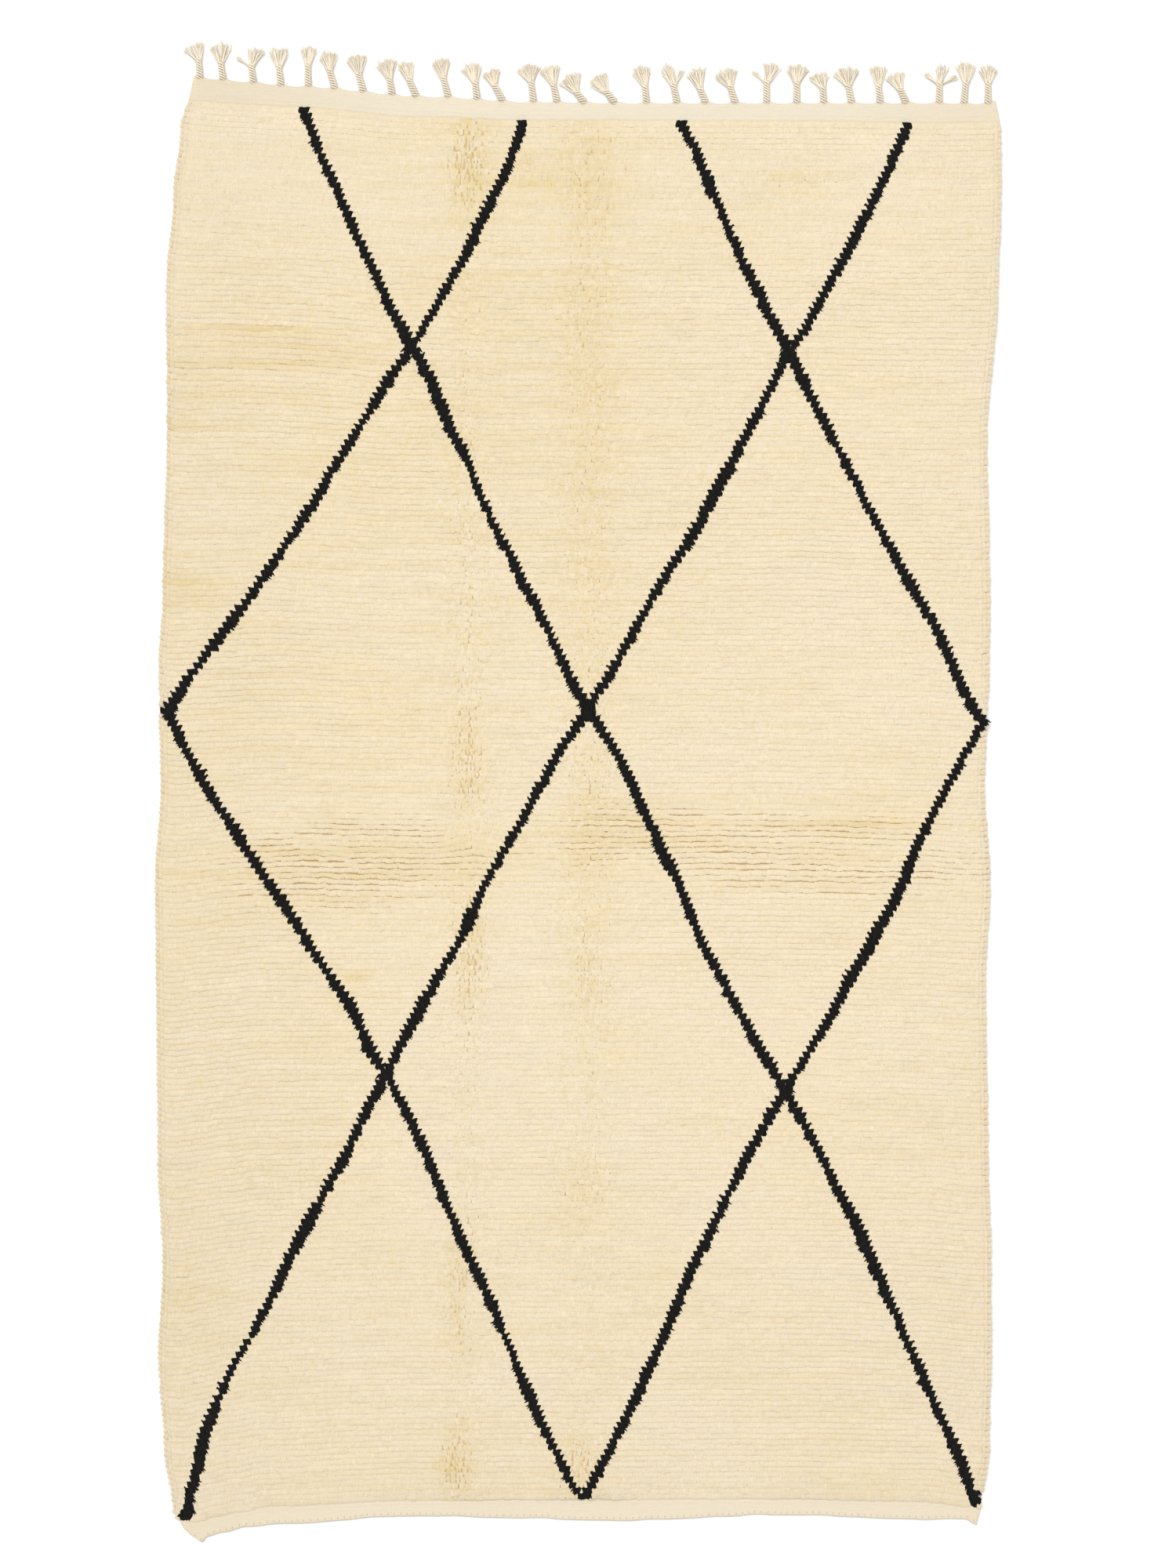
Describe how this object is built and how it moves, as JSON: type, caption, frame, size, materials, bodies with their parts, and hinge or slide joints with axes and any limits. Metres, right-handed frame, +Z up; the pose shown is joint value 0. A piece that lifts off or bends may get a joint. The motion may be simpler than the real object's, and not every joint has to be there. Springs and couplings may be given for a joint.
{
  "type": "beni ourain rug",
  "caption": "Cream hand-knotted wool rug lying flat, with a black diamond lattice, bare flat-woven bands at both ends and braided tassels along one of them.",
  "frame": {"origin": "centre of the rug's outline, its tassels included, on the floor that it lies on", "axes": "+X across the rug, +Y along it toward the tasselled end, +Z up from the floor"},
  "size_m": [1.6439, 2.9068, 0.0154],
  "materials": {
    "wool_pile": "short cut wool pile in knot rows, undyed cream with yellower patches along two old folds",
    "dark_wool": "the same pile knotted in black wool, as a ragged-edged diamond lattice",
    "flat_weave": "bare weft-faced woven ground at both ends, cream",
    "warp_yarn": "greyish cream plied warp ends, braided and left loose, with a few dark hairs"
  },
  "bodies": {
    "root": {"rug_body": "wool_pile", "tassel_fringe": "warp_yarn"}
  },
  "joints": []
}
